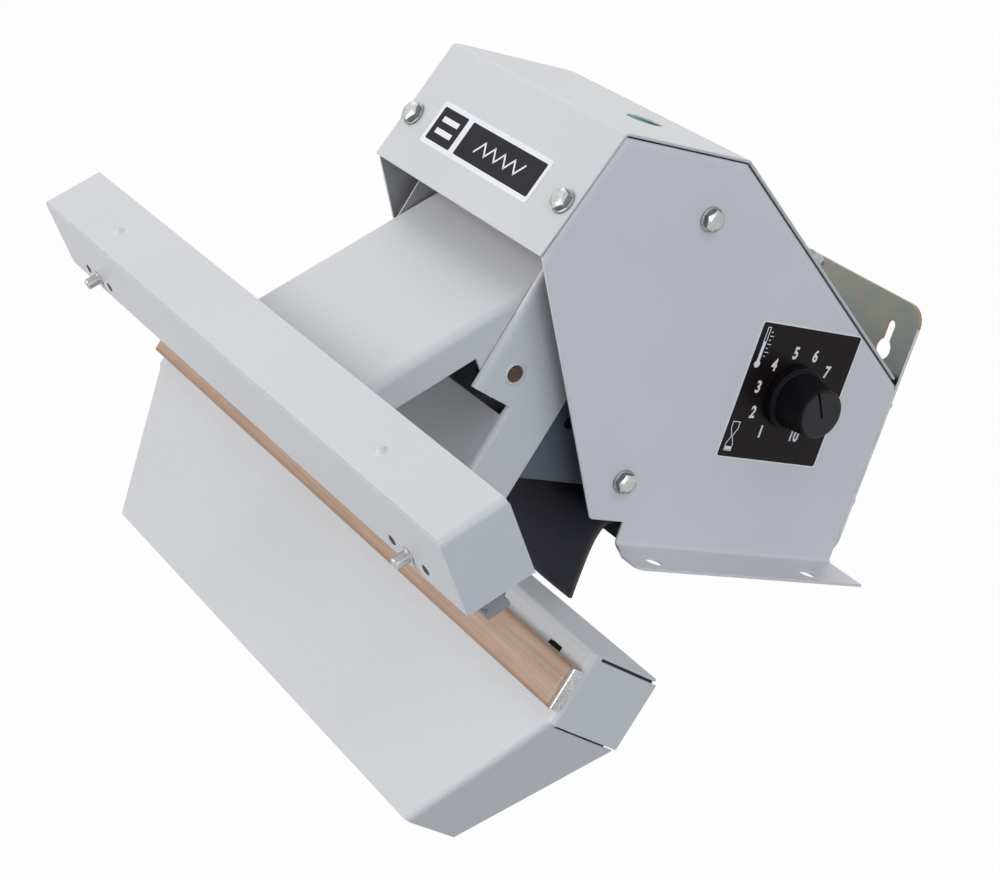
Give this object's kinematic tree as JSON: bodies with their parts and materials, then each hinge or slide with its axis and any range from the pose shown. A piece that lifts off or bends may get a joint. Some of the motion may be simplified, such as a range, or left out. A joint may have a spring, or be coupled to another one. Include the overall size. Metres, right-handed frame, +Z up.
{
  "type": "jaw heat sealer",
  "caption": "Bench or wall mounted jaw heat sealer: folded steel housing, fixed lower jaw with heated bar, hinged upper jaw with rubber strip, dial and rocker switch.",
  "frame": {"origin": "centre of the rectangle of base bolt holes, on the underside of the base flanges", "axes": "+X to the machine's right along the jaws, +Y to the back, +Z up"},
  "size_m": [0.434, 0.372, 0.3236],
  "materials": {
    "cover_paint": "light grey powder coat, satin",
    "panel_paint": "light grey powder coat, satin",
    "yellow_zinc": "yellow passivated zinc, slightly iridescent",
    "dark_paint": "dark grey paint",
    "flap_rubber": "black sheet rubber with a brown cut edge",
    "cradle_paint": "blue-grey paint",
    "bar_aluminium": "mill finish with sawn ends",
    "tape": "glass cloth tape",
    "ribbon": "resistance ribbon",
    "cloth": "tan coated glass cloth, smooth and slightly shiny",
    "brass": "plain brass",
    "axle_steel": "browned turned steel",
    "zinc": "bright zinc plating",
    "dark_steel": "dark oiled steel",
    "coil_wrap": "amber coil tape",
    "board": "green circuit board",
    "label": "black printed film",
    "black_plastic": "black moulded plastic",
    "pale_plastic": "pale moulded plastic",
    "grey_rubber": "grey silicone rubber",
    "green_plastic": "clear green plastic"
  },
  "bodies": {
    "base": {"right_panel": "panel_paint", "left_panel": "panel_paint", "top_cover": "cover_paint", "wall_plate": "yellow_zinc", "floor_tray": "dark_paint", "front_flap": "flap_rubber", "flap_clamp": "zinc", "clamp_screws": "zinc", "cradle": "cradle_paint", "lower_arm": "cover_paint", "lower_jaw": "cover_paint", "seal_bar": "bar_aluminium", "glass_tape": "tape", "heating_ribbon": "ribbon", "ptfe_cover": "cloth", "terminal_screws": "brass", "terminal_nuts": "brass", "pivot_axle": "axle_steel", "axle_collars": "cover_paint", "spacer_tubes": "zinc", "side_bolts": "zinc", "side_nuts": "zinc", "cover_bolts": "zinc", "wall_bolts": "zinc", "solenoid_yoke": "dark_steel", "solenoid_coil": "coil_wrap", "solenoid_screws": "zinc", "return_spring": "zinc", "transformer_core": "dark_steel", "transformer_coil": "coil_wrap", "control_board": "board", "board_standoffs": "zinc", "potentiometer": "zinc", "pot_nut": "zinc", "dial_label": "label", "name_plate": "label", "switch_body": "black_plastic", "limit_switch": "black_plastic", "terminal_block": "pale_plastic", "cable_gland": "black_plastic", "gland_nut": "black_plastic", "pedal_socket": "black_plastic"},
    "upper_jaw_arm": {"upper_arm": "cover_paint", "upper_jaw": "cover_paint", "rubber_holder": "bar_aluminium", "silicone_rubber": "grey_rubber", "jaw_studs": "zinc", "jaw_rivets": "cover_paint", "arm_bushes": "brass", "drive_lever": "dark_steel", "lever_pin": "zinc"},
    "solenoid_plunger": {"plunger": "dark_steel"},
    "dial": {"knob": "black_plastic", "knob_shaft": "zinc"},
    "rocker": {"switch_rocker": "green_plastic"}
  },
  "joints": [
    {"name": "jaw_hinge", "type": "hinge", "parent": "base", "child": "upper_jaw_arm", "pos_m": [0, -0.15041, 0.07926], "axis": [1, 0, 0], "range_deg": [0, 33.4], "stiffness_Nm_per_rad": 4, "springref_deg": -57.3},
    {"name": "plunger_slide", "type": "slide", "parent": "base", "child": "solenoid_plunger", "axis": [0, 0, 1], "range_m": [0, 0.0323], "deforming": ["return_spring"]},
    {"name": "dial_turn", "type": "hinge", "parent": "base", "child": "dial", "pos_m": [0.095, 0.0143, 0.0926], "axis": [1, 0, 0], "range_deg": [-183.5, 118]},
    {"name": "rocker_tilt", "type": "hinge", "parent": "base", "child": "rocker", "pos_m": [0.0303, -0.0969, 0.204], "axis": [1, 0, 0], "range_deg": [0, 10]}
  ],
  "couplings": [
    {"joint": "plunger_slide", "follows": "jaw_hinge", "m_per_rad": 0.05521}
  ]
}
